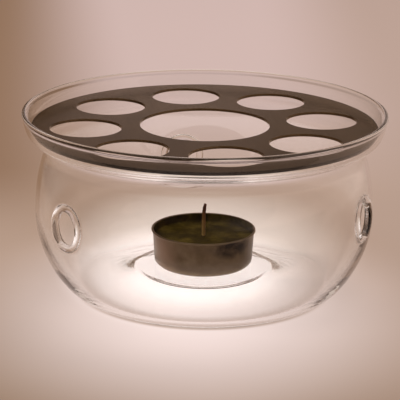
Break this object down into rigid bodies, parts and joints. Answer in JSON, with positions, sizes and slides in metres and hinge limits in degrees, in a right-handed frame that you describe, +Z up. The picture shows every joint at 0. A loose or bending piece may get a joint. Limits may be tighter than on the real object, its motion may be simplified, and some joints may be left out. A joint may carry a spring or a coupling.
{
  "type": "glass teapot warmer",
  "caption": "Round bulged glass bowl with vents in its wall and a raised platform for a tealight, topped by a loose pierced metal disc that a teapot stands on.",
  "frame": {"origin": "on the table, under the middle of the bowl's standing ring", "axes": "+Z up through the middle of the disc's centre hole, +Y towards the rear vent"},
  "size_m": [0.1306, 0.1306, 0.0659],
  "materials": {
    "clear_glass": "clear, fire-polished",
    "dark_steel": "dark warm satin",
    "cup_aluminium": "thin drawn sheet, satin",
    "olive_wax": "dark olive wax, waxy sheen",
    "waxed_cotton": "braided cotton soaked with wax",
    "tinned_steel": "bright tin"
  },
  "bodies": {
    "bowl": {"glass_bowl": "clear_glass"},
    "disc": {"perforated_disc": "dark_steel"},
    "tealight": {"tealight_cup": "cup_aluminium", "candle_wax": "olive_wax", "wick": "waxed_cotton", "wick_sustainer": "tinned_steel"}
  },
  "joints": [
    {"name": "disc_lift", "type": "slide", "parent": "bowl", "child": "disc", "axis": [0, 0, 1], "range_m": [0, 0.05]},
    {"name": "tealight_lift", "type": "slide", "parent": "bowl", "child": "tealight", "axis": [0, 0, 1], "range_m": [0, 0.075]}
  ]
}
